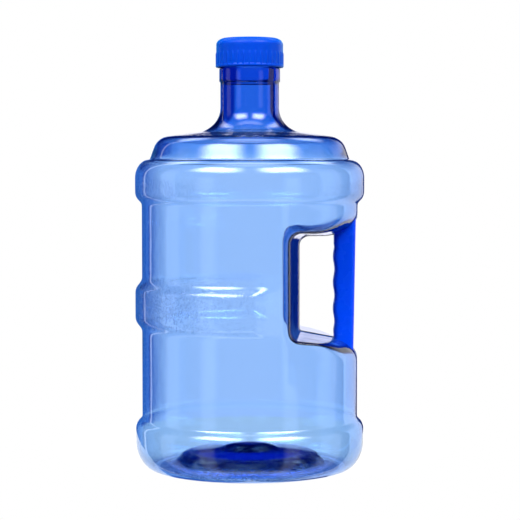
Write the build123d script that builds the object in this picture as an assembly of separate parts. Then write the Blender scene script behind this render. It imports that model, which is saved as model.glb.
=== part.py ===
"""Large water jug: a blow-moulded bottle with a moulded-in grip and a lined screw cap.

Millimetres. The bottle stands on z = 0 with its axis on Z. The grip is on the +X side, and the
mould's parting plane is y = 0.
"""

from build123d import *
import os
from math import acos, cos, hypot, radians, sin, sqrt, tan

# --- Bottle: heights and radii ------------------------------------------------------------------
BULGE_R = 100.0            # the upper bulge, the lower bulge and the band stand out to this radius
BODY_R = 94.2              # plain cylinder between them
WALL = 0.8                 # blown wall
RIM_Z = 371.6              # top of the neck, under the liner

RING_INNER_R = 76.0        # flat ring that the jug stands on
RING_OUTER_R = 84.0
BASE_CORNER_H = 24.0       # height of the rounded corner above the ring
PUNT_R = 60.0              # pushed-up centre of the base
PUNT_RIM_Z = 7.0
PUNT_RIM_WALLS = 1.5       # the punt's slope is this many walls thick, measured upright
PUNT_TOP_Z = 12.0
GATE_R = 20.0              # thick, unstretched centre of the base
GATE_T = 7.0

LOWER_TOP_Z = 34.0         # centre height of the lower bulge's top corner
UPPER_LOW_Z = 242.0        # centre height of the upper bulge's lower corner
BULGE_CORNER = 11.0
BULGE_FILLET = 5.0         # between a bulge's corner and the body
UPPER_TOP_Z = 254.0        # where the upper bulge starts to turn in
CREASE_R = 87.0            # the bulge ends in a crease, where the dome starts
CREASE_Z = 270.0
DOME_EDGE = (80.4, 288.8)  # sharp corner between the dome's side and its flat top
DOME_CORNER = 15.0
CORNER_SHARE = 0.75        # how far the inner skin's sharp corner moves in
CREASE_STEP = 1.5          # the crease is this many walls thick, measured across

NECK_R = 25.5
NECK_LOW_Z = 314.5
NECK_FOOT = (49.5, 293.0)  # where the neck's fillet meets the dome's top
BORE_R = 22.7
BORE_OVERRUN = 5.0         # the bore is cut this far past the rim
COLLAR_R = 26.45
COLLAR_Z = (337.0, 348.6)
FINISH_R = 25.4            # root of the neck's thread

BAND_Z = (124.4, 162.4)    # raised band round the back, away from the grip
BAND_CORNER = (7.0, 8.5)
BAND_ROOT = 2.4            # how far the band's section reaches inside the body
BAND_END = ((18.0, 92.5), (5.2, 99.9))  # foot and top of the ramp at each end of the band

# --- Recess for the hand, drafted both ways from y = 0 ------------------------------------------
SLOT_WALL_X = 43.0
SLOT_ROOF_Z = 203.5
SLOT_FLOOR_Z = 119.2
SLOT_ROOF_CORNER = 9.0
SLOT_FLOOR_CORNER = 3.0    # at y = 0
FLOOR_CORNER_GROWTH = 0.06 # per millimetre away from y = 0
ROOF_ROUND = (62.0, 224.0, 31.5, 19.0)   # ellipse: centre x and z, and half-axes
FLOOR_ROUND = (71.0, 92.0, 22.5, 22.0)
ROUND_SHARE = 0.5          # how far those ellipses narrow for each millimetre of draft
WALL_DRAFT = 6.0           # degrees
ROOF_DRAFT = 6.0
FLOOR_DRAFT = 3.0
LOFT_REACH = 1.05          # the cutting shapes pass the bulges by these factors
CUT_REACH = 1.4

# --- Grip ---------------------------------------------------------------------------------------
GRIP_X = (73.8, 92.3)
GRIP_W = 26.0
GRIP_EDGE = 4.0
FINGER_PITCH = 23.0
FINGER_DEPTH = 1.3
FINGER_TOP_Z = 185.0       # highest swell between two fingers
FOOT_X = (75.5, 84.5)      # short feet that the blown wall closes round
FOOT_W = 14.0
FOOT_Z = (107.5, 212.0)
FOOT_BLOCK_H = 12.0
BAR_Z = (90.0, 235.0)      # rough bar, before the recess trims its ends
SWELLS = 3

# --- Cap and liner ------------------------------------------------------------------------------
CAP_R = 29.1
CAP_LIP_R = 29.6
CAP_LOW_Z = 349.5
CAP_LIP_H = 2.6
CAP_TOP_Z = 376.0
CAP_BORE_R = 27.4
CAP_CORNER = (13.0, 7.0)
CAP_CHAMFER = 1.4
CAP_LIP_STEP = 0.5         # height of the slope above the lip
RIB_COUNT = 36
RIB_W = 1.3
RIB_TOP_Z = 361.0
RIB_RUNOUT = 2.5
RIB_ROOT = 0.4             # how far a rib reaches into the skirt
RIB_TAIL = 0.3             # how far from that root its top end stands
LINER_R = 26.6
LINER_T = 1.4
LINER_BEVEL = 0.25
LINER_GAP = 0.2            # left above the rim so that the bodies don't share a face
SEAT_GAP = 0.05            # left above the liner
SEAT_Z = RIM_Z + LINER_GAP + LINER_T + SEAT_GAP

# --- Thread: two starts, right-handed -----------------------------------------------------------
STARTS = 2
THREAD_LEAD = 10.0
THREAD_TURNS = 0.95
NECK_CREST_R = 26.9
CAP_CREST_R = 25.85
RIDGE_W = (2.3, 1.2)       # at the root and at the crest
NECK_THREAD_Z = 356.0      # middle of the ridge where it starts
CAP_THREAD_DROP = 2.1      # the cap's ridge bears under the neck's
RIDGE_BURY = 0.3           # how far a ridge's root goes into its wall


def along(edges):
    """Face bounded by a chain of edges that already meet end to end."""
    return Face(Wire(edges))


def spin(face):
    """Turn a half section in the XZ plane about the bottle's axis."""
    return revolve(face, Axis.Z, 360)


def ellipse_arc(x, z, half_x, half_z, start):
    """Quarter of an upright ellipse in the XZ plane, from start degrees, from +X towards +Z."""
    plane = Plane(origin=(x, 0, z), x_dir=(1, 0, 0), z_dir=(0, -1, 0))
    return Edge.make_ellipse(half_x, half_z, plane, start, start + 90)


def points_to_edges(points):
    return [Edge.make_line(a, b) for a, b in zip(points, points[1:])]


def at(r, z):
    return Vector(r, 0, z)


# --- Bottle -------------------------------------------------------------------------------------
def dome_edges(inset, start, end):
    """Side and top of the dome, with the rounded corner between them."""
    side = hypot(CREASE_R - DOME_EDGE[0], DOME_EDGE[1] - CREASE_Z)
    lean = (CREASE_R - DOME_EDGE[0]) / side
    corner = at(DOME_EDGE[0] - inset * (1 + lean) * CORNER_SHARE, DOME_EDGE[1] - inset)
    dome = FilletPolyline(start, corner, end, radius=DOME_CORNER - inset)
    return list(dome.edges())


def bulge_corner(centre_z, way, inset):
    """End point on the body, and edges, of a bulge's rounded corner and the fillet under it.

    way is 1 where the body is above the bulge and -1 where it is below.
    """
    corner_r = BULGE_CORNER - inset
    fillet_r = BULGE_FILLET + inset
    centre_r = BULGE_R - BULGE_CORNER
    across = BODY_R + BULGE_FILLET - centre_r
    turn = acos(across / (BULGE_CORNER + BULGE_FILLET))
    rise = (BULGE_CORNER + BULGE_FILLET) * sin(turn)
    fillet_z = centre_z + way * rise

    def on_corner(angle):
        return at(centre_r + corner_r * cos(angle), centre_z + way * corner_r * sin(angle))

    def on_fillet(angle):
        return at(BODY_R + BULGE_FILLET - fillet_r * cos(angle), fillet_z - way * fillet_r * sin(angle))

    edges = [
        Edge.make_three_point_arc(on_corner(0), on_corner(turn / 2), on_corner(turn)),
        Edge.make_three_point_arc(on_fillet(turn), on_fillet(turn / 2), on_fillet(0)),
    ]
    return on_fillet(0), edges


def body_edges(inset):
    """Side of the bottle from the standing ring up to the foot of the neck."""
    corner_a = BULGE_R - RING_OUTER_R - inset
    corner_b = BASE_CORNER_H - inset
    crease_a = BULGE_R - CREASE_R - inset
    crease_b = CREASE_Z - UPPER_TOP_Z - inset
    bulge_r = BULGE_R - inset
    lower_end, lower = bulge_corner(LOWER_TOP_Z, 1, inset)
    upper_end, upper = bulge_corner(UPPER_LOW_Z, -1, inset)

    crease = at(CREASE_R, CREASE_Z - inset)
    dome_low = at(CREASE_R - CREASE_STEP * inset, CREASE_Z - inset)
    dome_end = at(NECK_FOOT[0], NECK_FOOT[1] - inset)
    edges = [
        ellipse_arc(RING_OUTER_R, BASE_CORNER_H, corner_a, corner_b, 270),
        Edge.make_line(at(bulge_r, BASE_CORNER_H), at(bulge_r, LOWER_TOP_Z)),
        *lower,
        Edge.make_line(lower_end, upper_end),
        *upper[::-1],
        Edge.make_line(at(bulge_r, UPPER_LOW_Z), at(bulge_r, UPPER_TOP_Z)),
        ellipse_arc(CREASE_R, UPPER_TOP_Z, crease_a, crease_b, 0),
    ]
    if inset:
        edges.append(Edge.make_line(crease, dome_low))
    return edges + dome_edges(inset, dome_low, dome_end)


def outer_section():
    """Half section of everything inside the bottle's outer skin, without threads."""
    base = points_to_edges([
        at(0, PUNT_TOP_Z), at(GATE_R, PUNT_TOP_Z), at(PUNT_R, PUNT_RIM_Z),
        at(RING_INNER_R, 0), at(RING_OUTER_R, 0),
    ])
    foot_a = NECK_FOOT[0] - NECK_R
    foot_b = NECK_LOW_Z - NECK_FOOT[1]
    neck = [ellipse_arc(NECK_FOOT[0], NECK_LOW_Z, foot_a, foot_b, 180)]
    neck += points_to_edges([
        at(NECK_R, NECK_LOW_Z), at(NECK_R, COLLAR_Z[0]), at(COLLAR_R, COLLAR_Z[0]),
        at(COLLAR_R, COLLAR_Z[1]), at(FINISH_R, COLLAR_Z[1]), at(FINISH_R, RIM_Z),
        at(0, RIM_Z), at(0, PUNT_TOP_Z),
    ])
    return along(base + body_edges(0) + neck)


def inner_section():
    """Half section of the space inside, open at the rim."""
    gate_z = PUNT_TOP_Z + GATE_T
    floor_z = PUNT_TOP_Z + WALL
    gate_top_r = GATE_R - GATE_T + WALL
    base = [
        Edge.make_line(at(0, gate_z), at(gate_top_r, gate_z)),
        ellipse_arc(gate_top_r, floor_z, GATE_R - gate_top_r, gate_z - floor_z, 0),
    ]
    base += points_to_edges([
        at(GATE_R, floor_z), at(PUNT_R, PUNT_RIM_Z + PUNT_RIM_WALLS * WALL),
        at(RING_INNER_R, WALL), at(RING_OUTER_R, WALL),
    ])
    foot_a = NECK_FOOT[0] - BORE_R
    foot_b = NECK_LOW_Z - NECK_FOOT[1] + WALL
    neck = [ellipse_arc(NECK_FOOT[0], NECK_LOW_Z, foot_a, foot_b, 180)]
    above_rim = RIM_Z + BORE_OVERRUN
    neck += points_to_edges([
        at(BORE_R, NECK_LOW_Z), at(BORE_R, above_rim), at(0, above_rim), at(0, gate_z),
    ])
    return along(base + body_edges(WALL) + neck)


def band(inset):
    """Raised band round the back half, with a ramp at each end."""
    low_z, high_z = BAND_Z
    half_x = BAND_CORNER[0] - inset
    half_z = BAND_CORNER[1] - inset
    centre_r = BULGE_R - BAND_CORNER[0]
    low_c = low_z + BAND_CORNER[1]
    high_c = high_z - BAND_CORNER[1]
    root_r = BODY_R - BAND_ROOT
    ring = along([
        ellipse_arc(centre_r, low_c, half_x, half_z, 270),
        Edge.make_line(at(centre_r + half_x, low_c), at(centre_r + half_x, high_c)),
        ellipse_arc(centre_r, high_c, half_x, half_z, 0),
    ] + points_to_edges([
        at(centre_r, high_c + half_z), at(root_r, high_c + half_z),
        at(root_r, low_c - half_z), at(centre_r, low_c - half_z),
    ]))
    (foot_x, foot_y), (top_x, top_y) = BAND_END
    far = CUT_REACH * BULGE_R
    reach = (far - top_y) / (top_y - foot_y)
    out_x = top_x + reach * (top_x - foot_x)
    corners = [(foot_x - inset, foot_y), (out_x - inset, far), (-far, far)]
    outline = corners + [(x, -y) for x, y in reversed(corners)]
    keep = extrude(make_face(Polyline(*outline, close=True)), 2 * high_z)
    return spin(ring) & keep


def slot_outline(y, inset):
    """Outline of the recess at distance y from the parting plane, grown by inset into the bottle."""
    wall_x = SLOT_WALL_X - y * tan(radians(WALL_DRAFT)) - inset
    up = y * tan(radians(ROOF_DRAFT)) + inset
    down = y * tan(radians(FLOOR_DRAFT)) + inset
    x, z, half_x, half_z = ROOF_ROUND
    roof = (x, z, half_x - ROUND_SHARE * up, half_z - up)
    x, z, half_x, half_z = FLOOR_ROUND
    floor = (x, z, half_x - ROUND_SHARE * down, half_z - down)
    roof_r = SLOT_ROOF_CORNER
    floor_r = SLOT_FLOOR_CORNER + FLOOR_CORNER_GROWTH * y
    outside = CUT_REACH * BULGE_R
    roof_z = SLOT_ROOF_Z + up
    roof_mid = at(wall_x + roof_r * (1 - sqrt(0.5)), roof_z - roof_r * (1 - sqrt(0.5)))
    floor_x = wall_x + floor_r
    floor_z = SLOT_FLOOR_Z - down
    floor_mid = at(wall_x + floor_r * (1 - sqrt(0.5)), floor_z + floor_r * (1 - sqrt(0.5)))
    roof_end = roof[1] - roof[3]
    floor_end = floor[1] + floor[3]
    edges = [
        ellipse_arc(*roof, 270),
        Edge.make_line(at(roof[0] + roof[2], roof[1]), at(outside, roof[1])),
        Edge.make_line(at(outside, roof[1]), at(outside, floor[1])),
        Edge.make_line(at(outside, floor[1]), at(floor[0] + floor[2], floor[1])),
        ellipse_arc(*floor, 0),
        Edge.make_line(at(floor[0], floor_end), at(floor_x, floor_z)),
        Edge.make_three_point_arc(at(floor_x, floor_z), floor_mid, at(wall_x, floor_z + floor_r)),
        Edge.make_line(at(wall_x, floor_z + floor_r), at(wall_x, roof_z - roof_r)),
        Edge.make_three_point_arc(at(wall_x, roof_z - roof_r), roof_mid, at(wall_x + roof_r, roof_z)),
        Edge.make_line(at(wall_x + roof_r, roof_z), at(roof[0], roof_end)),
    ]
    return Wire(edges)


def slot(inset):
    """Everything that the recess takes away, on both sides of the parting plane."""
    reach = LOFT_REACH * BULGE_R
    middle = slot_outline(0, inset)
    half = Solid.make_loft([middle, Pos(0, -reach, 0) * slot_outline(reach, inset)], ruled=True)
    return half + mirror(half, about=Plane.XZ)


def foot_pockets(inset):
    """Room for the grip's two feet, grown by inset."""
    length = FOOT_X[1] - FOOT_X[0] + 2 * inset
    mid_x = sum(FOOT_X) / 2
    low = Pos(mid_x, 0, FOOT_Z[0] - inset + FOOT_BLOCK_H / 2)
    high = Pos(mid_x, 0, FOOT_Z[1] + inset - FOOT_BLOCK_H / 2)
    block = Box(length, FOOT_W + 2 * inset, FOOT_BLOCK_H)
    return low * block + high * block


def thread(root_r, crest_r, first_z, first_deg):
    """One start of a right-handed ridge, from root_r to crest_r."""
    inward = 1 if crest_r < root_r else -1
    bury = RIDGE_BURY * inward
    path = Helix(THREAD_LEAD, THREAD_LEAD * THREAD_TURNS, root_r)
    half_root, half_crest = RIDGE_W[0] / 2, RIDGE_W[1] / 2
    corners = [(root_r + bury, half_root), (crest_r, half_crest),
               (crest_r, -half_crest), (root_r + bury, -half_root)]
    section = Plane.XZ * make_face(Polyline(*corners, close=True))
    ridge = sweep(section, path, is_frenet=True)
    return Pos(0, 0, first_z) * Rot(0, 0, first_deg) * ridge


def threads(root_r, crest_r, first_z):
    step = 360 / STARTS
    return [thread(root_r, crest_r, first_z, step * n) for n in range(STARTS)]


def bottle():
    """One blown shell: body, base, recess, neck and its thread."""
    outside = spin(outer_section()) + band(0) - slot(0)
    inside = spin(inner_section()) + band(WALL) - slot(WALL) - foot_pockets(WALL)
    shell = outside - foot_pockets(0) - inside
    for ridge in threads(FINISH_R, NECK_CREST_R, NECK_THREAD_Z):
        shell += ridge
    return shell


# --- Grip ---------------------------------------------------------------------------------------
def grip():
    """Moulded bar with finger swells, its ends shaped to the recess and held by two feet."""
    low_z, high_z = BAR_Z
    wave = []
    for n in range(2 * SWELLS + 1):
        z = FINGER_TOP_Z + FINGER_PITCH / 2 - n * FINGER_PITCH / 2
        side = 1 if n % 2 == 0 else -1
        wave.append(at(GRIP_X[0] + side * FINGER_DEPTH / 2, z))
    top = at(wave[0].X, high_z)
    bottom = at(wave[-1].X, low_z)
    upright = Vector(0, 0, -1)
    edges = [
        Edge.make_line(top, wave[0]),
        Edge.make_spline(wave, tangents=[upright, upright]),
        Edge.make_line(wave[-1], bottom),
        Edge.make_line(bottom, at(GRIP_X[1], low_z)),
        Edge.make_line(at(GRIP_X[1], low_z), at(GRIP_X[1], high_z)),
        Edge.make_line(at(GRIP_X[1], high_z), top),
    ]
    bar = extrude(along(edges), GRIP_W / 2, both=True)
    plan = Pos((GRIP_X[0] + GRIP_X[1]) / 2, 0, low_z) * RectangleRounded(
        GRIP_X[1] - GRIP_X[0] + FINGER_DEPTH, GRIP_W, GRIP_EDGE)
    bar &= extrude(plan, high_z - low_z)
    return (bar & slot(0)) + (foot_pockets(0) & bar)


# --- Cap ----------------------------------------------------------------------------------------
def cap_section():
    """Half section of the cap's plain shell."""
    lip_top = CAP_LOW_Z + CAP_LIP_H
    half_x, half_z = CAP_CORNER
    shoulder = CAP_R - half_x
    corner_z = CAP_TOP_Z - half_z
    edges = points_to_edges([
        at(CAP_BORE_R, CAP_LOW_Z), at(CAP_LIP_R - CAP_CHAMFER, CAP_LOW_Z),
        at(CAP_LIP_R, CAP_LOW_Z + CAP_CHAMFER), at(CAP_LIP_R, lip_top),
        at(CAP_R, lip_top + CAP_LIP_STEP), at(CAP_R, corner_z),
    ])
    edges.append(ellipse_arc(shoulder, corner_z, half_x, half_z, 0))
    edges += points_to_edges([
        at(shoulder, CAP_TOP_Z), at(0, CAP_TOP_Z), at(0, SEAT_Z), at(CAP_BORE_R, SEAT_Z),
        at(CAP_BORE_R, CAP_LOW_Z),
    ])
    return along(edges)


def rib():
    """One upright grip rib on the cap's skirt, running out at its top."""
    root = CAP_R - RIB_ROOT
    low_z = CAP_LOW_Z + CAP_LIP_H - CAP_LIP_STEP
    high_z = RIB_TOP_Z + RIB_RUNOUT
    side = Polyline((root, low_z), (CAP_LIP_R, low_z), (CAP_LIP_R, RIB_TOP_Z),
                    (root + RIB_TAIL, high_z), (root, high_z), close=True)
    return extrude(Plane.XZ * make_face(side), RIB_W / 2, both=True)


def screw_cap():
    shell = spin(cap_section())
    step = 360 / RIB_COUNT
    ribs = [Rot(0, 0, step * n) * rib() for n in range(RIB_COUNT)]
    return shell + ribs + threads(CAP_BORE_R, CAP_CREST_R, NECK_THREAD_Z - CAP_THREAD_DROP)


def cap_liner():
    """Soft disc that seals on the rim."""
    low_z = RIM_Z + LINER_GAP
    bevel = LINER_BEVEL
    section = along(points_to_edges([
        at(0, low_z), at(LINER_R - bevel, low_z), at(LINER_R, low_z + bevel),
        at(LINER_R, low_z + LINER_T - bevel), at(LINER_R - bevel, low_z + LINER_T),
        at(0, low_z + LINER_T), at(0, low_z),
    ]))
    return spin(section)


def save(shape, node):
    solids = shape.solids()
    whole = solids[0] if len(solids) == 1 else Compound(solids)
    export_step(whole, f"parts/{node}.step")
    print(node, len(solids), "solid", round(whole.volume / 1000, 2), "cm3")


os.makedirs("parts", exist_ok=True)
save(bottle(), "bottle")
save(grip(), "grip")
save(screw_cap(), "screw_cap")
save(cap_liner(), "cap_liner")
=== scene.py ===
"""Looks of the large water jug: clear blown bottle, moulded-in grip, screw cap and its liner.

Shapes are worked out in millimetres and written to the meshes in metres, in the CAD model's frame:
the bottle's axis is Z, the grip is on the +X side and the parting plane of the mould is y = 0.
"""

from math import cos, degrees, hypot, pi, radians, sin, tan

import bpy
import numpy as np
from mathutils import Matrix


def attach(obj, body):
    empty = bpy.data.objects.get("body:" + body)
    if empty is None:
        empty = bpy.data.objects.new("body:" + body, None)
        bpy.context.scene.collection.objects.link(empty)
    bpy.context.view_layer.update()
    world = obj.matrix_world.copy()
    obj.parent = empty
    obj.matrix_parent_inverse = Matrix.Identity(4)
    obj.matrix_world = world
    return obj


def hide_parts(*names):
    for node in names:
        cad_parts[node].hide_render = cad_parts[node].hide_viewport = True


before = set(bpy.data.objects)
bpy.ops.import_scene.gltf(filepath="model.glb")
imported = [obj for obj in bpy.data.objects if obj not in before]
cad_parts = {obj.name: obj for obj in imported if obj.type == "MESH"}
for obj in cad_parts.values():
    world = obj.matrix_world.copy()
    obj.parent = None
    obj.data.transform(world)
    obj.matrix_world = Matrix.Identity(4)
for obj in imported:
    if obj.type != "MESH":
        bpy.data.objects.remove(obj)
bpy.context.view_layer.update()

MM = 0.001

# --- Bottle: profile ----------------------------------------------------------------------------
BULGE_R = 100.0
BODY_R = 94.2
WALL = 0.8
RIM_Z = 371.6

RING_INNER_R = 76.0
RING_OUTER_R = 84.0
BASE_CORNER_H = 24.0
PUNT_R = 60.0
PUNT_RIM_Z = 7.0
PUNT_TOP_Z = 12.0
GATE_R = 20.0
UNDERSIDE_Z = PUNT_TOP_Z + 1  # the whole underside is below this height
GATE_T = 8.5               # the wall at the very middle of the base
BASE_T = 5.5               # thick, barely stretched middle of the base
DOME_T = 1.45
POLE_R = 4.0               # smallest ring of points round the middle of the base

LOWER_TOP_Z = 34.0
UPPER_LOW_Z = 242.0
BULGE_CORNER = 11.0
BULGE_FILLET = 5.0
UPPER_TOP_Z = 254.0
CREASE = (87.0, 270.0)
CREASE_ROUND = 1.6
DOME_EDGE = (80.4, 288.8)
DOME_CORNER = 15.0
NECK_FOOT = (49.5, 293.0)
NECK_R = 25.5
NECK_LOW_Z = 314.5
BORE_R = 22.7
COLLAR_R = 26.45
COLLAR_Z = (337.0, 348.6)
FINISH_R = 25.4
FINISH_GAP = 2.0           # the thread's root runs straight from this far above the collar to this far
                           # below the rim

# Where the wall's thickness changes: from the first value to the second
BASE_FADE_R = (PUNT_R + 4, PUNT_R - 4)
GATE_FADE_R = (GATE_R + 1.5, GATE_R - 3.5)
DOME_FADE_Z = (CREASE[1] + 1, CREASE[1] + 9)
NECK_FADE_Z = (NECK_FOOT[1] - 4, NECK_LOW_Z)
NECK_FADE_R = DOME_EDGE[0] - 10  # only inside this radius

# --- Bottle: how rough the mould is, from 0 to 1 -----------------------------------------------
BAND_GRAIN = 0.1
BAND_GRAIN_Z = (100.0, 200.0)    # heights that hold the band and neither bulge
UPPER_GRAIN = 0.05
UPPER_GRAIN_Z = (UPPER_TOP_Z, UPPER_TOP_Z - 8)
PROUD_R = (BODY_R + 0.8, BODY_R + 3.3)
SHOULDER_GRAIN = 0.6
SHOULDER_GRAIN_Z = (DOME_EDGE[1] - 2, DOME_EDGE[1] + 1)
SHOULDER_GRAIN_R = ((40.0, 48.0), (DOME_EDGE[0] - 6, DOME_EDGE[0] - 12))
BASE_GRAIN_R = ((GATE_R, GATE_R + 4), (RING_OUTER_R, RING_OUTER_R - 6))
STIPPLE = 0.7                    # inner side of the base's slope
STIPPLE_R = ((46.0, 54.0), (84.0, 76.0))

# --- Bottle: band and recess --------------------------------------------------------------------
BAND_Z = (124.4, 162.4)
BAND_CORNER = (7.0, 8.5)
BAND_END = ((18.0, 92.5), (5.2, 99.9))
BAND_EDGE = 2.5            # rounding of the ramps' top edges
BAND_FOOT = 4.0            # fillet between the band and the body

RECESS_EXTRA = 1.4         # the wall is this much thicker in the recess, where the mould pinches it
RECESS_REACH = 3.0         # as far as this from its surface
RECESS_FADE_R = (BODY_R - 2, BODY_R - 8)
SIDE_ROWS = 100
SIDE_STEPS = 80            # points from the side in to the recess's wall
LEAST_LEAN = 0.2           # directions flatter than this to the recess's wall are taken to miss it
LEAST_ACROSS = 0.1         # and to the band's ramp
RECESS_LOW_Z = 84.0        # rows between these heights follow the recess
RECESS_HIGH_Z = 228.5
WALL_X = 43.0
WALL_DRAFT = tan(radians(6))
ROOF_DRAFT = tan(radians(3.5))
FLOOR_DRAFT = tan(radians(1.5))
ROOF_Z = 203.5
ROOF_ROLL = (32.2, 20.5)   # width and height of its turn into the side, at the parting plane
ROOF_ROLL_END = (3.0, 5.0) # and where the turn is smallest
ROOF_ROLL_Y = (28.0, 88.0) # it shrinks between these distances from the parting plane
FLOOR_Z = 119.2
FLOOR_ROLL = (18.2, 16.0)
FLOOR_ROLL_END = (3.0, 5.0)
FLOOR_ROLL_Y = (35.0, 85.0)
FLOOR_TILT = 0.186         # fall of the floor on its way out
SEAM_H = 0.7               # bead along the recess's parting line
SEAM_W = 1.1
ROOF_CORNER = 9.0
FLOOR_CORNER = 3.0
FLOOR_CORNER_GROWTH = 0.06
RIM_ROUND = 6.0            # rounding where the recess's wall meets the side
RIM_FADE = (58.0, 78.0)    # it grows between these distances from the parting plane

# --- Thread -------------------------------------------------------------------------------------
STARTS = 2
THREAD_LEAD = 10.0
THREAD_TURNS = 0.95
NECK_CREST_R = 26.9
CAP_CREST_R = 25.85
RIDGE_W = (2.3, 1.2)
NECK_THREAD_Z = 356.0
CAP_THREAD_Z = 353.9
THREAD_RUNOUT = 0.04       # turns over which a ridge starts and ends
ROOT_SLACK = 0.05          # a point this near the root's radius is on the root
THREAD_CLEAR = 0.5         # height above the collar that the thread keeps clear

# --- Grip ---------------------------------------------------------------------------------------
GRIP_X = (73.8, 92.5)
GRIP_LEAN = 0.016          # the outer face leans in, going down, by this slope
GRIP_TOP_Z = 224.0
GRIP_W = 26.0
GRIP_EDGE = 4.0
FINGER_PITCH = 23.0
FINGER_DEPTH = 1.3
FINGER_TOP_Z = 185.0
GRIP_BURY = 0.6            # how far its ends go into the bottle's wall
GRIP_ROWS = 140
GRIP_EDGE_POINTS = 9
FINGER_START_Z = (116.0, 122.0)
FINGER_END_Z = (FINGER_TOP_Z + FINGER_PITCH / 2, FINGER_TOP_Z + FINGER_PITCH / 2 - 4)

# --- Cap and liner ------------------------------------------------------------------------------
CAP_R = 29.1
CAP_LIP_R = 29.6
CAP_LOW_Z = 349.5
CAP_LIP_TOP_Z = 352.1
CAP_TOP_Z = 375.2
CAP_BORE_R = 27.4
CAP_CORNER = (8.0, 6.0)
CAP_SEAT_Z = 373.25
RIB_COUNT = 36
RIB_W = 1.3
RIB_H = 0.5
RIB_TOP_Z = 361.0
RIB_RUNOUT = 2.5
RIB_COLUMNS = 12
RIB_EDGE = (RIB_W / 2 + 0.35, RIB_W / 2 - 0.15)  # a rib rises between these distances from its middle
SKIRT_SLACK = 0.2          # a point this near the cap's radius is on the skirt
CAP_POLE_R = 2.0           # smallest ring of points round the axis, on the cap and the liner
SMALL_ROUND = 0.3
LIP_RISE = 0.8
LIP_ROUND = 1.2
BORE_END = 1.5             # from the bore's straight part to the cap's mouth and seat
LINER_R = 26.6
LINER_Z = (371.8, 373.2)
LINER_COLUMNS = 128

# --- Finishes: lengths in metres ----------------------------------------------------------------
CLEAR_COLOUR = (0.11, 0.54, 0.92, 1.0)
CLEAR_DENSITY = 800.0
CLEAR_IOR = 1.57
CLEAR_ROUGHNESS = 0.03
FLOW = (28.0, 0.0002)      # scale and depth of the slow waves in the blown wall
PEBBLE = (650.0, 0.0006)   # scale and depth of the mould's grain
PITS = (0.55, 0.7)         # noise values between which a pit rises
SOLID_IOR = 1.5
SOLID_SPECULAR = 0.25
SCATTER_RADIUS = (0.2, 0.5, 1.0)
SCATTER_SCALE = 0.004
GLOSS_SCALE = 60.0
GRIP_COLOUR = (0.0, 0.07, 0.85, 1)
CAP_COLOUR = (0.0, 0.060, 0.56, 1)
LINER_COLOUR = (0.86, 0.87, 0.86, 1)
RIM_SPECULAR = 0.12
RIM_SHEEN = 0.6
RIM_SHEEN_ROUGHNESS = 0.35
RIM_TINT = (0.0, 0.65, 1.0, 1.0)


# --- Curves in the (r, z) plane -----------------------------------------------------------------
NEARLY_STRAIGHT = radians(89.5)  # half the angle between two lines


def rounded(corners, step=6.0):
    """Points along straight lines between (r, z, radius) corners, each corner rounded to its radius."""
    points = [np.array(corners[0][:2], float)]
    for before, here, after in zip(corners, corners[1:], corners[2:]):
        p, radius = np.array(here[:2], float), here[2]
        a = np.array(before[:2], float) - p
        b = np.array(after[:2], float) - p
        a /= np.linalg.norm(a)
        b /= np.linalg.norm(b)
        half = np.arccos(np.clip(a @ b, -1, 1)) / 2
        if radius == 0 or half > NEARLY_STRAIGHT:
            points.append(p)
            continue
        reach = radius / tan(half)
        middle = (a + b) / np.linalg.norm(a + b)
        centre = p + middle * radius / sin(half)
        turn = pi - 2 * half
        count = max(2, int(degrees(turn) / step) + 1)
        start = p + a * reach - centre
        end = p + b * reach - centre
        sign = 1 if start[0] * end[1] - start[1] * end[0] > 0 else -1
        for t in np.linspace(0, sign * turn, count + 1):
            turned = (start[0] * cos(t) - start[1] * sin(t), start[0] * sin(t) + start[1] * cos(t))
            points.append(centre + np.array(turned))
    points.append(np.array(corners[-1][:2], float))
    return np.array(points)


def quarter(centre_r, centre_z, half_r, half_z, start, count=18):
    """Quarter of an upright ellipse, from start degrees, from +r towards +z."""
    t = np.radians(np.linspace(start, start + 90, count + 1))
    return np.column_stack([centre_r + half_r * np.cos(t), centre_z + half_z * np.sin(t)])


def join(*parts):
    """One path out of several, without the points they share."""
    path = np.vstack([np.atleast_2d(np.array(p, float)) for p in parts])
    keep = np.r_[True, np.hypot(*np.diff(path, axis=0).T) > 1e-6]
    return path[keep]


def rows(path, longest, bend=12.5, shortest=0.35):
    """Path sampled again: points no further apart than longest, and closer where it bends."""
    length = np.hypot(*np.diff(path, axis=0).T)
    fine = [path[:1]]
    for a, b, n in zip(path, path[1:], np.ceil(length / 0.25).astype(int)):
        fine.append(a + (b - a) * np.linspace(0, 1, n + 1)[1:, None])
    fine = np.vstack(fine)
    steps = np.diff(fine, axis=0)
    length = np.hypot(*steps.T)
    heading = np.unwrap(np.arctan2(steps[:, 1], steps[:, 0]))
    turn = np.degrees(np.abs(np.gradient(heading)))
    width = 13
    turn = np.convolve(np.pad(turn, width // 2, mode="edge"), np.ones(width) / width, "valid")
    density = np.clip(turn / length / bend, 1 / longest, 1 / shortest)
    travelled = np.r_[0, np.cumsum(density * length)]
    count = int(np.ceil(travelled[-1]))
    at = np.linspace(0, travelled[-1], count + 1)
    return np.column_stack([np.interp(at, travelled, fine[:, 0]), np.interp(at, travelled, fine[:, 1])])


# --- Distances to the bottle's outside, negative inside it --------------------------------------
def round_and(a, b, radius):
    """What two shapes share, with the edge between them rounded."""
    corner = np.hypot(np.maximum(radius + a, 0), np.maximum(radius + b, 0))
    return np.minimum(-radius, np.maximum(a, b)) + corner


def round_or(a, b, radius):
    """Two shapes together, with a fillet where they meet."""
    corner = np.hypot(np.maximum(radius - a, 0), np.maximum(radius - b, 0))
    return np.maximum(radius, np.minimum(a, b)) - corner


def rise(value, start, end):
    """0 at start and 1 at end, smoothly between. start may be the higher of the two."""
    t = np.clip((value - start) / (end - start), 0, 1)
    return t * t * (3 - 2 * t)


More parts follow.
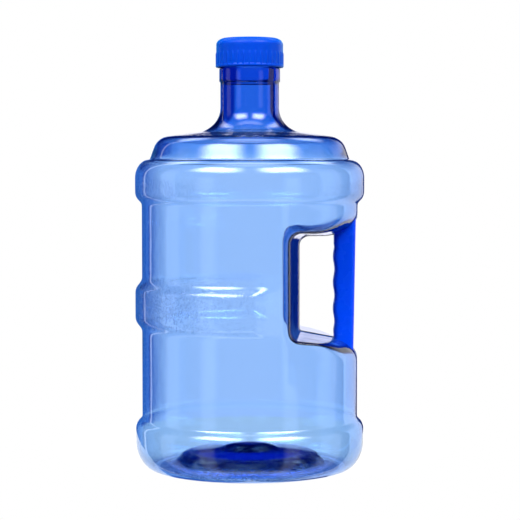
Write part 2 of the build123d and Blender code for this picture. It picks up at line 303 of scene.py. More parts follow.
def bowl(dx, dz, half_x, half_z):
    """Distance in from a quarter ellipse whose centre is at dx = dz = 0."""
    dx, dz = np.maximum(dx, 1e-4), np.maximum(dz, 1e-4)
    size = np.hypot(dx / half_x, dz / half_z)
    return (1 - size) * size / np.hypot(dx / half_x**2, dz / half_z**2)


def roll(y, size, least, fade):
    """Width and height of the recess's turn into the side, at distance y from the parting plane."""
    share = rise(y, fade[1], fade[0])
    return [small + (full - small) * share for full, small in zip(size, least)]


def side_x(y):
    """How far out the body's side is, at distance y from the parting plane."""
    return np.sqrt(np.maximum(BODY_R**2 - y**2, 1.0))


def roof_shape(y):
    """Where the roof starts to turn up, the turn's half-axes and its top, at distance y."""
    wide, high = roll(y, ROOF_ROLL, ROOF_ROLL_END, ROOF_ROLL_Y)
    return side_x(y) - wide, wide, high, ROOF_Z + y * ROOF_DRAFT + high


def floor_shape(y):
    """The same for the floor, and its foot, in a plane sheared to make the floor level."""
    wide, high = roll(y, FLOOR_ROLL, FLOOR_ROLL_END, FLOOR_ROLL_Y)
    return side_x(y) - wide, wide, high, FLOOR_Z - y * FLOOR_DRAFT - high


def floor_fall(x):
    """How far the recess's floor has fallen at this distance out."""
    return FLOOR_TILT * (x - WALL_X - FLOOR_CORNER)


def roof_height(x, y):
    """Height of the recess's roof, its turn into the side included."""
    start, half_x, half_z, top = roof_shape(np.abs(y))
    t = np.clip((x - start) / half_x, 0, 1)
    return top - half_z * np.sqrt(1 - t * t)


def floor_height(x, y):
    """The same for its floor."""
    start, half_x, half_z, foot = floor_shape(np.abs(y))
    t = np.clip((x - start) / half_x, 0, 1)
    return foot + half_z * np.sqrt(1 - t * t) - floor_fall(x)


def recess(x, y, z):
    """Distance to the hand recess, negative inside it. It is drafted both ways from y = 0."""
    y = np.abs(y)
    wall = WALL_X - y * WALL_DRAFT - x
    start, half_x, half_z, top = roof_shape(y)
    roof = bowl(x - start, top - z, half_x, half_z)
    start, half_x, half_z, foot = floor_shape(y)
    floor = bowl(x - start, z + floor_fall(x) - foot, half_x, half_z)
    inside = round_and(wall, roof, ROOF_CORNER)
    inside = round_and(inside, floor, FLOOR_CORNER + FLOOR_CORNER_GROWTH * y)
    return inside + SEAM_H * np.exp(-(y / SEAM_W) ** 2)


def ramp(x, y):
    """Distance past the plane that cuts the band off near the recess."""
    (foot_x, foot_y), (top_x, top_y) = BAND_END
    run = hypot(top_x - foot_x, top_y - foot_y)
    nx, ny = (top_y - foot_y) / run, (foot_x - top_x) / run
    return nx * (x - foot_x) + ny * (np.abs(y) - foot_y)


def skin(x, y, z):
    """Distance to the bottle's side, band and recess included."""
    r = np.hypot(x, y)
    half_r, half_z = BAND_CORNER
    middle = sum(BAND_Z) / 2
    out = r - (BULGE_R - half_r)
    off = (np.abs(z - middle) - (BAND_Z[1] - middle - half_z)) * half_r / half_z
    ring = np.hypot(np.maximum(out, 0), np.maximum(off, 0)) + np.minimum(np.maximum(out, off), 0) - half_r
    band = round_and(ring, ramp(x, y), BAND_EDGE)
    side = round_or(r - BODY_R, band, BAND_FOOT)
    rim = RIM_ROUND * rise(np.abs(y), *RIM_FADE)
    return round_and(side, -recess(x, y, z), rim)


def settle(points, rounds=10, step=0.02, longest=2.0):
    """Points moved onto the skin, along its gradient."""
    for _ in range(rounds):
        x, y, z = points.T
        value = skin(x, y, z)
        slope = np.column_stack([
            skin(x + step, y, z) - skin(x - step, y, z),
            skin(x, y + step, z) - skin(x, y - step, z),
            skin(x, y, z + step) - skin(x, y, z - step),
        ]) / (2 * step)
        move = slope * (value / np.maximum((slope**2).sum(1), 1e-6))[:, None]
        size = np.linalg.norm(move, axis=1)
        points = points - move * np.minimum(1, longest / np.maximum(size, 1e-9))[:, None]
    return points


# --- Meshes -------------------------------------------------------------------------------------
def mesh_object(name, verts, faces):
    """Smooth-shaded object from points in millimetres."""
    mesh = bpy.data.meshes.new(name)
    mesh.from_pydata((np.asarray(verts) * MM).tolist(), [], faces)
    mesh.polygons.foreach_set("use_smooth", [True] * len(mesh.polygons))
    mesh.validate()
    mesh.update()
    obj = bpy.data.objects.new(name, mesh)
    bpy.context.scene.collection.objects.link(obj)
    return obj


def closed_sheet(name, grid, first_pole, last_pole):
    """Closed mesh from rings of points, rows x columns, with a point to close each end."""
    count, columns = grid.shape[:2]
    verts = np.vstack([[first_pole], grid.reshape(-1, 3), [last_pole]])
    ring = np.arange(columns)
    after = (ring + 1) % columns
    faces = []
    first = 1
    faces += [(0, int(first + b), int(first + a)) for a, b in zip(ring, after)]
    for row in range(count - 1):
        low, high = first + row * columns, first + (row + 1) * columns
        faces += [(int(low + a), int(low + b), int(high + b), int(high + a)) for a, b in zip(ring, after)]
    low = first + (count - 1) * columns
    last = len(verts) - 1
    faces += [(int(low + a), int(low + b), last) for a, b in zip(ring, after)]
    return mesh_object(name, verts, faces)


def lathe(profile, angles):
    """Grid of rows x columns from an (r, z) profile."""
    r, z = profile[:, 0][:, None], profile[:, 1][:, None]
    return np.dstack([r * np.cos(angles), r * np.sin(angles), z + 0 * angles])


def grid_normals(grid):
    """Unit normals of a grid of rings, pointing away from the material below the sheet."""
    along = np.gradient(grid, axis=0)
    around = (np.roll(grid, -1, axis=1) - np.roll(grid, 1, axis=1)) / 2
    normal = np.cross(around, along)
    return normal / np.maximum(np.linalg.norm(normal, axis=2, keepdims=True), 1e-12)


def ridge(angles, z, first_z, first_deg=0.0):
    """Height from 0 to 1 of the thread's ridges at these places, for every start."""
    height = np.zeros(np.broadcast(angles, z).shape)
    flank = (RIDGE_W[0] - RIDGE_W[1]) / 2
    for start in range(STARTS):
        turned = ((angles - radians(first_deg) - 2 * pi * start / STARTS) / (2 * pi)) % 1.0
        for whole in range(int(THREAD_TURNS) + 1):
            turns = turned + whole
            off = np.abs(z - first_z - THREAD_LEAD * turns)
            body = np.clip((RIDGE_W[0] / 2 - off) / flank, 0, 1)
            ends = rise(turns, 0, THREAD_RUNOUT) * rise(turns, THREAD_TURNS, THREAD_TURNS - THREAD_RUNOUT)
            height = np.maximum(height, body * ends)
    return height


# --- Bottle -------------------------------------------------------------------------------------
def bottle_angles():
    """Columns round the bottle, closer together where the recess and the band's ramps are."""
    half = [0.0]
    spans = ((1.0, 0.5), (4.0, 1.0), (54.0, 1.5), (60.0, 1.2), (74.0, 0.875), (79.0, 1.25), (90.0, 1.0),
             (180.0, 2.3))
    for end, step in spans:
        count = round((end - half[-1]) / step)
        half += list(np.linspace(half[-1], end, count + 1)[1:])
    half = np.radians(half)
    return np.r_[half, -half[-2:0:-1]]


def side_path(angle, count):
    """Sharp-edged path up the side at one angle, by way of the recess or the band."""
    c, s = cos(angle), abs(sin(angle))
    lean = c + s * WALL_DRAFT
    wall_r = WALL_X / lean if lean > LEAST_LEAN else BODY_R
    if wall_r < BODY_R:
        r = np.linspace(BODY_R, wall_r, SIDE_STEPS)
        floor = floor_height(r * c, r * s)
        roof = roof_height(r * c, r * s)
        path = join((BODY_R, RECESS_LOW_Z), np.column_stack([r, floor]),
                    np.column_stack([r, roof])[::-1], (BODY_R, RECESS_HIGH_Z))
    else:
        (foot_x, foot_y), (top_x, top_y) = BAND_END
        nx, ny = top_y - foot_y, foot_x - top_x
        across = nx * c + ny * s
        reach = (nx * foot_x + ny * foot_y) / across if across > LEAST_ACROSS else BULGE_R
        top = min(max(reach, BODY_R), BULGE_R)
        path = np.array([(BODY_R, RECESS_LOW_Z), (BODY_R, BAND_Z[0]), (top, BAND_Z[0]),
                         (top, BAND_Z[1]), (BODY_R, BAND_Z[1]), (BODY_R, RECESS_HIGH_Z)])
    travelled = np.r_[0, np.cumsum(np.hypot(*np.diff(path, axis=0).T))]
    at = np.linspace(0, travelled[-1], count)
    r, z = np.interp(at, travelled, path[:, 0]), np.interp(at, travelled, path[:, 1])
    return np.column_stack([r * cos(angle), r * sin(angle), z])


def bulge_corner(centre_z, way):
    """Rounded corner of a bulge and the fillet beside it. way is 1 where the body is above the bulge."""
    middle = BULGE_R - BULGE_CORNER
    turn = np.arccos((BODY_R + BULGE_FILLET - middle) / (BULGE_CORNER + BULGE_FILLET))
    t = np.linspace(0, turn, 12)
    corner = np.column_stack([middle + BULGE_CORNER * np.cos(t), centre_z + way * BULGE_CORNER * np.sin(t)])
    fillet_z = centre_z + way * (BULGE_CORNER + BULGE_FILLET) * sin(turn)
    t = t[::-1]
    fillet = np.column_stack([BODY_R + BULGE_FILLET * (1 - np.cos(t)),
                              fillet_z - way * BULGE_FILLET * np.sin(t)])
    return join(corner, fillet)


def low_profile():
    """Underside, lower bulge and body, from the middle of the base up to where the recess rows start."""
    base = rounded([(POLE_R, PUNT_TOP_Z, 0), (GATE_R, PUNT_TOP_Z, 8), (PUNT_R, PUNT_RIM_Z, 6),
                    (RING_INNER_R, 0, 5), (RING_OUTER_R, 0, 0)])
    corner = quarter(RING_OUTER_R, BASE_CORNER_H, BULGE_R - RING_OUTER_R, BASE_CORNER_H, 270)
    path = join(base, corner, bulge_corner(LOWER_TOP_Z, 1), (BODY_R, RECESS_LOW_Z))
    return rows(path, longest=5.0)


def high_profile():
    """Upper bulge, dome and the neck's fillet, up to the straight neck."""
    top = quarter(CREASE[0], UPPER_TOP_Z, BULGE_R - CREASE[0], CREASE[1] - UPPER_TOP_Z, 0)
    top = top[top[:, 0] > CREASE[0] + 3]
    dome = rounded([(*top[-1], 0), CREASE + (CREASE_ROUND,), DOME_EDGE + (DOME_CORNER,), NECK_FOOT + (0,)])
    foot = quarter(NECK_FOOT[0], NECK_LOW_Z, NECK_FOOT[0] - NECK_R, NECK_LOW_Z - NECK_FOOT[1], 180)[::-1]
    path = join((BODY_R, RECESS_HIGH_Z), bulge_corner(UPPER_LOW_Z, -1)[::-1], top, dome, foot)
    return rows(path, longest=4.0)


def neck_profile():
    """Straight neck, collar, thread root, rim and the bore down to the start of the neck."""
    low, high = COLLAR_Z[1] + FINISH_GAP, RIM_Z - FINISH_GAP
    outside = rounded([(NECK_R, NECK_LOW_Z, 0), (NECK_R, COLLAR_Z[0], 0.5), (COLLAR_R, COLLAR_Z[0], 0.4),
                       (COLLAR_R, COLLAR_Z[1], 0.4), (FINISH_R, COLLAR_Z[1], 0.5), (FINISH_R, low, 0)])
    finish = join((FINISH_R, low), (FINISH_R, high))
    rim = rounded([(FINISH_R, high, 0), (FINISH_R, RIM_Z, 0.8), (BORE_R, RIM_Z, 0.8), (BORE_R, high, 0)])
    bore = join((BORE_R, high), (BORE_R, NECK_LOW_Z))
    return join(rows(outside, 4.0, bend=24), rows(finish, 0.75), rows(rim, 1.5, bend=24), rows(bore, 6.0))


def wall_thickness(r, z):
    """Blown wall, thicker in the base, thickest at the gate, and gaining from the dome to the neck."""
    under = z < UNDERSIDE_Z
    base = rise(r, *BASE_FADE_R) * under
    gate = rise(r, *GATE_FADE_R) * under
    dome = rise(z, *DOME_FADE_Z)
    neck = rise(z, *NECK_FADE_Z) * (r < NECK_FADE_R)
    thick = WALL + base * (BASE_T - WALL) + gate * (GATE_T - BASE_T) + dome * (DOME_T - WALL)
    return thick + neck * (NECK_R - BORE_R - thick)


def build_bottle():
    angles = bottle_angles()
    low = lathe(low_profile(), angles)
    high = lathe(high_profile(), angles)
    neck = lathe(neck_profile(), angles)
    side = np.stack([side_path(a, SIDE_ROWS) for a in angles], axis=1)
    side = settle(side.reshape(-1, 3)).reshape(SIDE_ROWS, len(angles), 3)
    outer = np.concatenate([low[:-1], side, high[1:-1]])

    normal = grid_normals(np.concatenate([outer, high[-1:]]))[:-1]
    around = np.hypot(outer[..., 0], outer[..., 1])
    thick = wall_thickness(around, outer[..., 2])
    near = rise(np.abs(recess(*np.moveaxis(outer, 2, 0))), RECESS_REACH, 0) * rise(around, *RECESS_FADE_R)
    thick = thick + RECESS_EXTRA * near * (outer[..., 2] < UPPER_LOW_Z) * (outer[..., 2] > LOWER_TOP_Z)
    inner = outer - normal * thick[..., None]

    root = np.hypot(neck[..., 0], neck[..., 1])
    raised = ridge(angles, neck[..., 2], NECK_THREAD_Z) * (NECK_CREST_R - FINISH_R)
    raised *= (root > FINISH_R - ROOT_SLACK) * (neck[..., 2] > COLLAR_Z[1] + THREAD_CLEAR)
    neck[..., :2] *= ((root + raised) / root)[..., None]

    grid = np.concatenate([outer, neck, inner[::-1]])
    bottle = closed_sheet("clear_bottle", grid, (0, 0, PUNT_TOP_Z), (0, 0, PUNT_TOP_Z + GATE_T))
    grain = grain_mask(outer)
    values = np.zeros(len(bottle.data.vertices), np.float32)
    values[1:1 + grain.size] = grain.ravel()
    speckle = stipple(outer)[::-1]
    values[-1 - speckle.size:-1] = speckle.ravel()
    attribute = bottle.data.attributes.new("grain", "FLOAT", "POINT")
    attribute.data.foreach_set("value", values)
    return bottle


def grain_mask(points):
    """Where the mould is grained: the band, faintly the upper bulge, the shoulder's flat top and the base."""
    x, y, z = points[..., 0], points[..., 1], points[..., 2]
    r = np.hypot(x, y)
    proud = rise(r, *PROUD_R)
    band = BAND_GRAIN * proud * (z > BAND_GRAIN_Z[0]) * (z < BAND_GRAIN_Z[1])
    upper = UPPER_GRAIN * proud * rise(z, *UPPER_GRAIN_Z) * (z > BAND_GRAIN_Z[1])
    base = rise(r, *BASE_GRAIN_R[0]) * rise(r, *BASE_GRAIN_R[1]) * (z < UNDERSIDE_Z)
    near, far = SHOULDER_GRAIN_R
    shoulder = SHOULDER_GRAIN * rise(z, *SHOULDER_GRAIN_Z) * rise(r, *near) * rise(r, *far)
    return np.clip(np.maximum.reduce([band, base, upper, shoulder]), 0, 1)


def stipple(points):
    """Where the base's slope is rough on its inner side too, given the outer points under it."""
    r = np.hypot(points[..., 0], points[..., 1])
    near, far = STIPPLE_R
    return STIPPLE * rise(r, *near) * rise(r, *far) * (points[..., 2] < UNDERSIDE_Z)


# --- Grip ---------------------------------------------------------------------------------------
def build_grip():
    """Bar with finger swells on its inner face, its ends buried in the recess's floor and roof."""
    far, near = GRIP_X[1], GRIP_X[0]
    half = GRIP_W / 2
    corners = []
    for sx, sy, start in ((1, -1, 270), (1, 1, 0), (-1, 1, 90), (-1, -1, 180)):
        t = np.radians(np.linspace(start, start + 90, GRIP_EDGE_POINTS))
        cx = (far - GRIP_EDGE) if sx > 0 else (near + GRIP_EDGE)
        cy = sy * (half - GRIP_EDGE)
        corners.append(np.column_stack([cx + GRIP_EDGE * np.cos(t), cy + GRIP_EDGE * np.sin(t)]))
    outline = []
    for a, b in zip(corners, corners[1:] + corners[:1]):
        outline += list(a)
        outline += list(np.linspace(a[-1], b[0], GRIP_EDGE_POINTS)[1:-1])
    outline = np.array(outline)
    share = (far - outline[:, 0]) / (far - near)
    x, y = outline[:, 0], outline[:, 1]
    grid = []
    for t in np.linspace(0, 1, GRIP_ROWS):
        low = floor_height(x, y) - GRIP_BURY
        high = roof_height(x, y) + GRIP_BURY
        z = low + (high - low) * t
        wave = FINGER_DEPTH / 2 * np.cos(2 * pi * (z - FINGER_TOP_Z) / FINGER_PITCH)
        inside = rise(z, *FINGER_START_Z) * rise(z, *FINGER_END_Z)
        lean = (1 - share) * GRIP_LEAN * (GRIP_TOP_Z - z)
        grid.append(np.column_stack([x - share * wave * inside - lean, y, z]))
    grid = np.array(grid)
    return closed_sheet("grip_bar", grid, grid[0].mean(0), grid[-1].mean(0))


# --- Cap and liner ------------------------------------------------------------------------------
def build_cap():
    """Ribbed shell with a lip at its foot, threaded inside."""
    angles = np.linspace(0, 2 * pi, RIB_COUNT * RIB_COLUMNS, endpoint=False)
    half_r, half_z = CAP_CORNER
    crown = quarter(CAP_R - half_r, CAP_TOP_Z - half_z, half_r, half_z, 0)[::-1]
    top = join((CAP_POLE_R, CAP_TOP_Z), (CAP_R - half_r, CAP_TOP_Z), crown)
    skirt_z = CAP_LIP_TOP_Z + LIP_RISE
    skirt = join((CAP_R, CAP_TOP_Z - half_z), (CAP_R, skirt_z))
    mouth_z, deep_z = CAP_LOW_Z + BORE_END, CAP_SEAT_Z - BORE_END
    lip = rounded([(CAP_R, skirt_z, 0), (CAP_R, CAP_LIP_TOP_Z, SMALL_ROUND),
                   (CAP_LIP_R, CAP_LIP_TOP_Z - SMALL_ROUND, SMALL_ROUND), (CAP_LIP_R, CAP_LOW_Z, LIP_ROUND),
                   (CAP_BORE_R, CAP_LOW_Z, SMALL_ROUND), (CAP_BORE_R, mouth_z, 0)])
    bore = join((CAP_BORE_R, mouth_z), (CAP_BORE_R, deep_z))
    seat = rounded([(CAP_BORE_R, deep_z, 0), (CAP_BORE_R, CAP_SEAT_Z, SMALL_ROUND),
                    (CAP_POLE_R, CAP_SEAT_Z, 0)])
    outside = join(rows(top, 3.0, bend=7), rows(skirt, 1.0), rows(lip, 1.0, bend=20))
    inside = join(rows(bore, 0.7), rows(seat, 3.0, bend=20))
    outer, inner = lathe(outside, angles), lathe(inside[1:], angles)

    pitch = 2 * pi / RIB_COUNT
    off = np.abs((angles + pitch / 2) % pitch - pitch / 2) * CAP_R
    across = rise(off, *RIB_EDGE)
    z = outer[..., 2]
    up = rise(z, RIB_TOP_Z + RIB_RUNOUT, RIB_TOP_Z) * (z > CAP_LIP_TOP_Z)
    r = np.hypot(outer[..., 0], outer[..., 1])
    taller = RIB_H * across * up * (r > CAP_R - SKIRT_SLACK)
    r_new = np.where(taller > 0, np.maximum(r, np.minimum(r + taller, CAP_LIP_R)), r)
    outer[..., :2] *= (r_new / r)[..., None]

    r = np.hypot(inner[..., 0], inner[..., 1])
    raised = ridge(angles, inner[..., 2], CAP_THREAD_Z) * (CAP_BORE_R - CAP_CREST_R)
    raised *= r > CAP_BORE_R - ROOT_SLACK
    inner[..., :2] *= ((r - raised) / r)[..., None]
    grid = np.concatenate([outer, inner])
    return closed_sheet("cap_shell", grid[::-1], (0, 0, CAP_SEAT_Z), (0, 0, CAP_TOP_Z))


def build_liner():
    """Soft disc inside the cap."""
    low, high = LINER_Z
    profile = rounded([(CAP_POLE_R, low, 0), (LINER_R, low, SMALL_ROUND),
                       (LINER_R, high, SMALL_ROUND), (CAP_POLE_R, high, 0)])
    angles = np.linspace(0, 2 * pi, LINER_COLUMNS, endpoint=False)
    grid = lathe(rows(profile, 2.5, bend=24), angles)
    return closed_sheet("liner_disc", grid, (0, 0, low), (0, 0, high))


# --- Materials ----------------------------------------------------------------------------------
def material(name):
    """New material, with its node tree, its surface shader and its output."""
    made = bpy.data.materials.new(name)
    made.use_nodes = True
    tree = made.node_tree
    tree.nodes.clear()
    out = tree.nodes.new("ShaderNodeOutputMaterial")
    shader = tree.nodes.new("ShaderNodeBsdfPrincipled")
    tree.links.new(shader.outputs["BSDF"], out.inputs["Surface"])
    return made, tree, shader, out


def noise(tree, scale, detail=3.0, roughness=0.5):
    """Noise texture fixed to the object's own place in the frame."""
    place = tree.nodes.new("ShaderNodeTexCoord")
    texture = tree.nodes.new("ShaderNodeTexNoise")
    texture.inputs["Scale"].default_value = scale
    texture.inputs["Detail"].default_value = detail
    texture.inputs["Roughness"].default_value = roughness
    tree.links.new(place.outputs["Object"], texture.inputs["Vector"])
    return texture


def spread(tree, source, low, high):
    """Texture value from 0.3 to 0.7 spread from low to high."""
    span = tree.nodes.new("ShaderNodeMapRange")
    span.inputs["From Min"].default_value = 0.3
    span.inputs["From Max"].default_value = 0.7
    span.inputs["To Min"].default_value = low
    span.inputs["To Max"].default_value = high
    tree.links.new(source, span.inputs["Value"])
    return span.outputs["Result"]


def bump(tree, height, distance, after=None):
    """Normal raised by height, times distance, on top of an earlier bump if one is given."""
    node = tree.nodes.new("ShaderNodeBump")
    node.inputs["Distance"].default_value = distance
    node.inputs["Strength"].default_value = 1.0
    tree.links.new(height, node.inputs["Height"])
    if after is not None:
        tree.links.new(after, node.inputs["Normal"])
    return node.outputs["Normal"]


def times(tree, a, b):
    """Product of two node outputs."""
    node = tree.nodes.new("ShaderNodeMath")
    node.operation = "MULTIPLY"
    tree.links.new(a, node.inputs[0])
    tree.links.new(b, node.inputs[1])
    return node.outputs["Value"]


def clear_plastic():
    """Clear blue plastic: the colour is in its depth, and the grained parts of the mould scatter a little."""
    made, tree, shader, out = material("clear_blue_plastic")
    shader.inputs["Base Color"].default_value = (1.0, 1.0, 1.0, 1.0)
    shader.inputs["Transmission Weight"].default_value = 1.0
    shader.inputs["IOR"].default_value = CLEAR_IOR
    depth = tree.nodes.new("ShaderNodeVolumeAbsorption")
    depth.inputs["Color"].default_value = CLEAR_COLOUR
    depth.inputs["Density"].default_value = CLEAR_DENSITY
    tree.links.new(depth.outputs["Volume"], out.inputs["Volume"])
    mask = tree.nodes.new("ShaderNodeAttribute")
    mask.attribute_name = "grain"
    flow = noise(tree, FLOW[0], detail=2.0)
    pebble = noise(tree, PEBBLE[0], detail=1.0)
    pits = tree.nodes.new("ShaderNodeMapRange")
    pits.interpolation_type = "SMOOTHSTEP"
    pits.inputs["From Min"].default_value, pits.inputs["From Max"].default_value = PITS
    tree.links.new(pebble.outputs["Fac"], pits.inputs["Value"])
    height = times(tree, pits.outputs["Result"], mask.outputs["Fac"])
    wavy = bump(tree, flow.outputs["Fac"], FLOW[1])
    tree.links.new(bump(tree, height, PEBBLE[1], after=wavy), shader.inputs["Normal"])
    shader.inputs["Roughness"].default_value = CLEAR_ROUGHNESS
    return made


def moulded(name, colour, rough, grain_scale, grain_depth, subsurface):
    """Solid moulded plastic: fine grain, uneven gloss and a little light under the surface."""
    made, tree, shader, _ = material(name)
    shader.inputs["Base Color"].default_value = colour
    shader.inputs["IOR"].default_value = SOLID_IOR
    shader.inputs["Specular IOR Level"].default_value = SOLID_SPECULAR
    shader.inputs["Subsurface Weight"].default_value = subsurface
    shader.inputs["Subsurface Radius"].default_value = SCATTER_RADIUS
    shader.inputs["Subsurface Scale"].default_value = SCATTER_SCALE
    gloss = noise(tree, GLOSS_SCALE)
    tree.links.new(spread(tree, gloss.outputs["Fac"], *rough), shader.inputs["Roughness"])
    grain = noise(tree, grain_scale, detail=4.0, roughness=0.6)
    tree.links.new(bump(tree, grain.outputs["Fac"], grain_depth), shader.inputs["Normal"])
    return made


def cyan_rim(made):
    """The same plastic with a cyan sheen, which shows most at the cap's edges."""
    shader = made.node_tree.nodes["Principled BSDF"]
    shader.inputs["Specular IOR Level"].default_value = RIM_SPECULAR
    shader.inputs["Sheen Weight"].default_value = RIM_SHEEN
    shader.inputs["Sheen Roughness"].default_value = RIM_SHEEN_ROUGHNESS
    shader.inputs["Sheen Tint"].default_value = RIM_TINT
    return made


def give(obj, made, body, slot, *nodes):
    """Piece gets its material and its body, and the CAD nodes that it stands for are hidden. slot is not
    used.
    """
    obj.data.materials.append(made)
    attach(obj, body)
    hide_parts(*nodes)


bottle = build_bottle()
give(bottle, clear_plastic(), "jug", "clear_blue_plastic", "bottle")

grip = build_grip()
grip_plastic = moulded("grip_plastic", GRIP_COLOUR, rough=(0.22, 0.34), grain_scale=900.0,
                       grain_depth=0.0001, subsurface=0.15)
give(grip, grip_plastic, "jug", "grip_plastic", "grip")

cap = build_cap()
cap_plastic = moulded("cap_plastic", CAP_COLOUR, rough=(0.26, 0.4), grain_scale=900.0,
                      grain_depth=0.0001, subsurface=0.2)
give(cap, cyan_rim(cap_plastic), "cap", "cap_plastic", "screw_cap")

liner = build_liner()
liner_foam = moulded("liner_foam", LINER_COLOUR, rough=(0.5, 0.7), grain_scale=1600.0,
                     grain_depth=0.0002, subsurface=0.1)
give(liner, liner_foam, "liner", "liner_foam", "cap_liner")


# --- Stage, lights and camera -------------------------------------------------------------------
FLOOR_R = 0.185
FLOOR_SIDES = 96
FLOOR_Y = 0.115            # the disc's centre is behind the jug, so none of it lies in front
FLOOR_GLOW = 1.15
FLOOR_PAINTED_LIGHT = (0.04, 0.24, 1.1)  # painted shade and painted blue light on the floor under the jug, as if lit through the jug
FLOOR_SHADE = (0.045, 0.098)   # the painted shade fades into the plain white floor between these distances from the jug's axis
WHITE = (1.0, 1.0, 1.0)
# A Mix node's colour sockets share their names with its other kinds, so they go by their place
MIX_FACTOR, MIX_A, MIX_B, MIX_RESULT = 0, 6, 7, 2
ROOM = (0.001, 0.012, 0.16)
# Panels of light round the jug: strength, then centre, half width and softness of the edge in degrees,
# for the angle from the back of the room, to the right, and for the height above the floor.
PANELS = (
    (1.12, (1.7, 6.2, 0.9), (-40, 48.5, 1.5)),
    (1.30, (-50, 2.0, 1.0), (0, 50, 10)),
    (0.95, (40, 20, 1.5), (-20, 40, 10)),
    (0.60, (-90, 10, 4), (-20, 50, 10)),
    (0.60, (90, 14, 4), (-20, 50, 10)),
    (0.60, (-136, 8, 4), (-30, 38, 4)),
    (0.60, (136, 8, 4), (-30, 38, 4)),
    (14.0, (-141, 24, 14), (45, 12, 9)),
    (14.0, (140, 24, 14), (45, 12, 9)),
    (4.0, (-40, 14, 10), (50, 8, 8)),
    (4.0, (40, 14, 10), (50, 8, 8)),
    (2.5, (0, 180, 5), (90, 18, 8)),
    (1.0, (180, 80, 10), (-60, 10, 5)),
)
# Dim blue panel, in the same form
DIM_COLOUR = (0.03, 0.16, 0.45)
DIM_PANELS = (
    (1.0, (-24, 19.5, 1.0), (-40, 50, 2)),
)
CAMERA_PLACE = (0.009, -1.555, 0.272)
CAMERA_DOWN = 3.315        # degrees below level
CAMERA_LENS = 123.1        # mm, on a sensor this wide
CAMERA_SENSOR = 36.0


def build_floor():
    """Small glowing floor under and behind the jug, with painted shade and painted blue light close to its
    axis and plain white further out.
    """
    around = [2 * pi * n / FLOOR_SIDES for n in range(FLOOR_SIDES)]
    mesh = bpy.data.meshes.new("floor")
    verts = [(FLOOR_R * cos(t), FLOOR_Y + FLOOR_R * sin(t), 0) for t in around]
    mesh.from_pydata(verts, [], [list(range(FLOOR_SIDES))])
    floor = bpy.data.objects.new("floor", mesh)
    bpy.context.scene.collection.objects.link(floor)
    made, tree, shader, _ = material("floor")
    shader.inputs["Base Color"].default_value = (0.0, 0.0, 0.0, 1)
    shader.inputs["Roughness"].default_value = 1.0
    shader.inputs["Specular IOR Level"].default_value = 0.0
    shader.inputs["Emission Strength"].default_value = FLOOR_GLOW
    place = tree.nodes.new("ShaderNodeTexCoord")
    away = tree.nodes.new("ShaderNodeVectorMath")
    away.operation = "LENGTH"
    tree.links.new(place.outputs["Object"], away.inputs[0])
    # Painted shade and painted blue light under the jug, fading to plain white away from its axis
    painted_shade_fade = tree.nodes.new("ShaderNodeMapRange")
    painted_shade_fade.interpolation_type = "SMOOTHSTEP"
    painted_shade_fade.inputs["From Min"].default_value, painted_shade_fade.inputs["From Max"].default_value = FLOOR_SHADE
    tree.links.new(away.outputs["Value"], painted_shade_fade.inputs["Value"])
    painted_light_mix = tree.nodes.new("ShaderNodeMix")
    painted_light_mix.data_type = "RGBA"
    painted_light_mix.inputs[MIX_A].default_value = FLOOR_PAINTED_LIGHT + (1,)
    painted_light_mix.inputs[MIX_B].default_value = WHITE + (1,)
    tree.links.new(painted_shade_fade.outputs["Result"], painted_light_mix.inputs[MIX_FACTOR])
    tree.links.new(painted_light_mix.outputs[MIX_RESULT], shader.inputs["Emission Color"])
    mesh.materials.append(made)


class Graph:
    """Short way to write sums in a node tree."""

    def __init__(self, tree):
        self.tree = tree

    def maths(self, operation, *values):
        node = self.tree.nodes.new("ShaderNodeMath")
        node.operation = operation
        for n, value in enumerate(values):
            if isinstance(value, (int, float)):
                node.inputs[n].default_value = value
            else:
                self.tree.links.new(value, node.inputs[n])
        return node.outputs["Value"]

    def window(self, value, centre, half, soft):
        """1 within half of the centre, in degrees, falling to 0 over an edge twice as wide as soft."""
        off = self.maths("ABSOLUTE", self.maths("WRAP", self.maths("SUBTRACT", value, centre), 180.0, -180.0))
        node = self.tree.nodes.new("ShaderNodeMapRange")
        node.interpolation_type = "SMOOTHSTEP"
        edge = {"From Min": half - soft, "From Max": half + soft, "To Min": 1.0, "To Max": 0.0}
        for name, number in edge.items():
            node.inputs[name].default_value = number
        self.tree.links.new(off, node.inputs["Value"])
        return node.outputs["Result"]


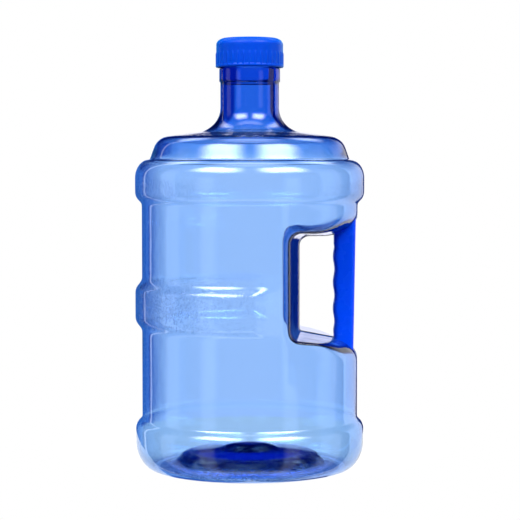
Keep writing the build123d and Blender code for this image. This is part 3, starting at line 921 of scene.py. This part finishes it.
def build_world():
    """Dark blue room with panels of light. The camera itself sees plain white."""
    world = bpy.data.worlds.new("studio")
    world.use_nodes = True
    tree = world.node_tree
    graph = Graph(tree)
    place = tree.nodes.new("ShaderNodeTexCoord")
    split = tree.nodes.new("ShaderNodeSeparateXYZ")
    tree.links.new(place.outputs["Generated"], split.inputs["Vector"])
    x, y, z = (split.outputs[n] for n in "XYZ")
    azimuth = graph.maths("DEGREES", graph.maths("ARCTAN2", x, y))
    height = graph.maths("DEGREES", graph.maths("ARCSINE", z))

    def background(colour, panels=()):
        node = tree.nodes.new("ShaderNodeBackground")
        node.inputs["Color"].default_value = colour + (1,)
        total = None
        for strength, across, up in panels:
            panel = graph.maths("MULTIPLY", graph.window(azimuth, *across), graph.window(height, *up))
            panel = graph.maths("MULTIPLY", panel, strength)
            total = panel if total is None else graph.maths("ADD", total, panel)
        if total is not None:
            tree.links.new(total, node.inputs["Strength"])
        return node.outputs["Background"]

    def plus(a, b):
        node = tree.nodes.new("ShaderNodeAddShader")
        tree.links.new(a, node.inputs[0])
        tree.links.new(b, node.inputs[1])
        return node.outputs["Shader"]

    lit = plus(plus(background(WHITE, PANELS), background(DIM_COLOUR, DIM_PANELS)), background(ROOM))
    white = background(WHITE)
    seen = tree.nodes.new("ShaderNodeLightPath")
    choice = tree.nodes.new("ShaderNodeMixShader")
    tree.links.new(seen.outputs["Is Camera Ray"], choice.inputs["Fac"])
    tree.links.new(lit, choice.inputs[1])
    tree.links.new(white, choice.inputs[2])
    tree.links.new(choice.outputs["Shader"], tree.nodes["World Output"].inputs["Surface"])
    bpy.context.scene.world = world


def build_camera():
    """Long lens, a little above the middle of the jug and looking slightly down."""
    data = bpy.data.cameras.new("camera")
    data.sensor_width = CAMERA_SENSOR
    data.lens = CAMERA_LENS
    camera = bpy.data.objects.new("camera", data)
    camera.location = CAMERA_PLACE
    camera.rotation_euler = (radians(90 - CAMERA_DOWN), 0, 0)
    bpy.context.scene.collection.objects.link(camera)
    bpy.context.scene.camera = camera


build_floor()
build_world()
build_camera()
bpy.context.scene.view_settings.view_transform = "Standard"
